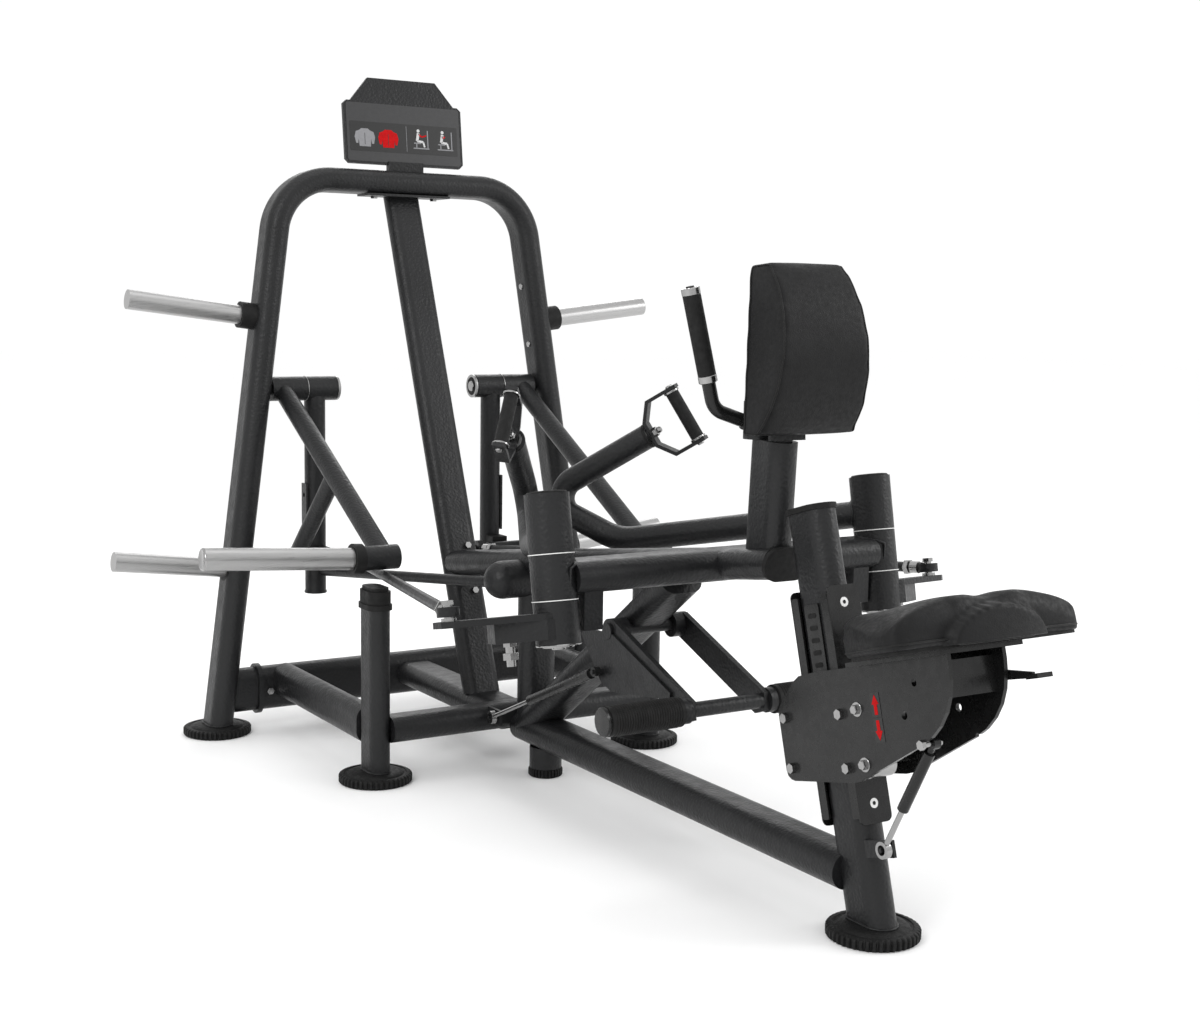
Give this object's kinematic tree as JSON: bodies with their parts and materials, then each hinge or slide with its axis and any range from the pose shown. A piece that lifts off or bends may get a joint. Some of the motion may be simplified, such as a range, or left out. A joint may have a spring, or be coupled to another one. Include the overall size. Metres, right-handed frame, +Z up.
{
  "type": "plate-loaded lateral row machine",
  "caption": "Seated row machine loaded with plates: arched frame, two swinging arms linked to levers, sliding seat, chest pad and foot rollers.",
  "frame": {"origin": "floor point under the middle of the machine's box", "axes": "+X is the user's right, +Y is the way the user faces, towards the arch, +Z is up"},
  "size_m": [1.5858, 2.2817, 1.662],
  "materials": {
    "frame_paint": "fine hammered powder coat, charcoal",
    "black_rubber": "moulded matt black",
    "grip_rubber": "knurled hand grip",
    "roller_rubber": "ribbed roller sleeve",
    "collar_rubber": "smooth bumper collar",
    "vinyl": "black upholstery vinyl, fine grain",
    "satin_chrome": "satin chrome plate",
    "bright_steel": "bright zinc and chrome plate",
    "gas_black": "gloss black",
    "gloss_black": "gloss black powder coat"
  },
  "bodies": {
    "frame": {"arch": "frame_paint", "rear_crossbeam": "frame_paint", "side_rails": "frame_paint", "centre_rail": "frame_paint", "front_crossbeam": "frame_paint", "bumper_posts": "frame_paint", "rubber_stops": "black_rubber", "base_beam": "frame_paint", "seat_post": "frame_paint", "spine": "frame_paint", "top_beam": "frame_paint", "crossbar": "frame_paint", "strut": "frame_paint", "centre_mast": "frame_paint", "pivot_supports": "frame_paint", "support_braces": "frame_paint", "lever_shafts": "frame_paint", "fixed_sleeves": "frame_paint", "chest_post": "frame_paint", "chest_pad": "vinyl", "chest_handles": "satin_chrome", "chest_grips": "grip_rubber", "storage_pegs": "satin_chrome", "peg_collars": "collar_rubber", "placard": "frame_paint", "feet": "black_rubber", "wear_plates": "gloss_black", "frame_bolts": "bright_steel", "gas_brackets": "frame_paint"},
    "left_arm": {"left_row_arm": "frame_paint", "left_lug": "frame_paint", "left_rod_ends": "bright_steel"},
    "left_handle": {"left_handle_frame": "frame_paint", "left_handle_grip": "grip_rubber"},
    "left_link": {"left_link_rod": "frame_paint"},
    "left_lever_arm": {"left_lever": "frame_paint", "left_lever_brace": "frame_paint", "left_plate_horn": "satin_chrome", "left_horn_collar": "collar_rubber"},
    "right_arm": {"right_row_arm": "frame_paint", "right_lug": "frame_paint", "right_rod_ends": "bright_steel"},
    "right_handle": {"right_handle_frame": "frame_paint", "right_handle_grip": "grip_rubber"},
    "right_link": {"right_link_rod": "frame_paint"},
    "right_lever_arm": {"right_lever": "frame_paint", "right_lever_brace": "frame_paint", "right_plate_horn": "satin_chrome", "right_horn_collar": "collar_rubber"},
    "seat": {"carriage_plates": "gloss_black", "carriage_rollers": "bright_steel", "seat_pad": "vinyl"},
    "seat_release": {"seat_paddle": "gloss_black"},
    "seat_spring_tube": {"seat_gas_cylinder": "gas_black"},
    "seat_spring_rod": {"seat_gas_rod": "bright_steel"},
    "footrest": {"footrest_frame": "frame_paint", "foot_rollers": "roller_rubber"},
    "foot_spring_tube": {"foot_gas_cylinder": "gas_black"},
    "foot_spring_rod": {"foot_gas_rod": "bright_steel"}
  },
  "joints": [
    {"name": "left_row", "type": "hinge", "parent": "frame", "child": "left_arm", "pos_m": [-0.3848, -0.4039, 0.4768], "axis": [0, 0.186, 0.9825], "range_deg": [0, 16]},
    {"name": "left_handle_swivel", "type": "hinge", "parent": "left_arm", "child": "left_handle", "pos_m": [-0.177, 0.16, 0.8], "axis": [-0.5192, -0.6837, 0.5128], "range_deg": [-50, 50]},
    {"name": "left_link_yaw", "type": "hinge", "parent": "left_arm", "child": "left_link", "pos_m": [-0.575, -0.33402, 0.54001], "axis": [0, 0.186, 0.9825], "range_deg": [-16.8, 0.4]},
    {"name": "left_lever_swing", "type": "hinge", "parent": "frame", "child": "left_lever_arm", "pos_m": [-0.345, 1.072, 0.865], "axis": [-1, 0, 0], "range_deg": [-0.3, 7.6]},
    {"name": "right_row", "type": "hinge", "parent": "frame", "child": "right_arm", "pos_m": [0.3848, -0.4039, 0.4768], "axis": [0, -0.186, -0.9825], "range_deg": [0, 16]},
    {"name": "right_handle_swivel", "type": "hinge", "parent": "right_arm", "child": "right_handle", "pos_m": [0.177, 0.16, 0.8], "axis": [-0.5192, 0.6837, -0.5128], "range_deg": [-50, 50]},
    {"name": "right_link_yaw", "type": "hinge", "parent": "right_arm", "child": "right_link", "pos_m": [0.575, -0.33402, 0.54001], "axis": [0, -0.186, -0.9825], "range_deg": [-16.8, 0.4]},
    {"name": "right_lever_swing", "type": "hinge", "parent": "frame", "child": "right_lever_arm", "pos_m": [0.345, 1.072, 0.865], "axis": [-1, 0, 0], "range_deg": [-0.3, 7.6]},
    {"name": "seat_height", "type": "slide", "parent": "frame", "child": "seat", "axis": [0, 0.2766, 0.961], "range_m": [0, 0.1]},
    {"name": "seat_release_lever", "type": "hinge", "parent": "seat", "child": "seat_release", "pos_m": [0.06, -0.99903, 0.49026], "axis": [-1, 0, 0], "range_deg": [0, 12], "stiffness_Nm_per_rad": 2, "springref_deg": -11.46},
    {"name": "seat_spring_swing", "type": "hinge", "parent": "seat", "child": "seat_spring_tube", "pos_m": [-0.041, -1.02697, 0.3932], "axis": [1, 0, 0], "range_deg": [-15, 1]},
    {"name": "seat_spring_stroke", "type": "slide", "parent": "seat_spring_tube", "child": "seat_spring_rod", "axis": [0, 0.4631, -0.8863], "range_m": [-0.001, 0.09]},
    {"name": "footrest_tilt", "type": "hinge", "parent": "frame", "child": "footrest", "pos_m": [0, -0.114, 0.423], "axis": [1, 0, 0], "range_deg": [-8, 10]},
    {"name": "foot_spring_swing", "type": "hinge", "parent": "footrest", "child": "foot_spring_tube", "pos_m": [-0.116, -0.099, 0.337], "axis": [1, 0, 0], "range_deg": [-14, 14]},
    {"name": "foot_spring_stroke", "type": "slide", "parent": "foot_spring_tube", "child": "foot_spring_rod", "axis": [0, 0.9177, -0.3973], "range_m": [-0.03, 0.03]}
  ],
  "couplings": [
    {"joint": "left_link_yaw", "follows": "left_row", "ratio": -1.0176},
    {"joint": "left_lever_swing", "follows": "left_row", "ratio": 0.45691},
    {"joint": "right_link_yaw", "follows": "right_row", "ratio": -1.0176},
    {"joint": "right_lever_swing", "follows": "right_row", "ratio": 0.45691},
    {"joint": "seat_spring_swing", "follows": "seat_height", "rad_per_m": -2.2769},
    {"joint": "seat_spring_stroke", "follows": "seat_height", "ratio": 0.78632},
    {"joint": "foot_spring_swing", "follows": "footrest_tilt", "ratio": -1.0991},
    {"joint": "foot_spring_stroke", "follows": "footrest_tilt", "m_per_rad": -0.071586}
  ]
}
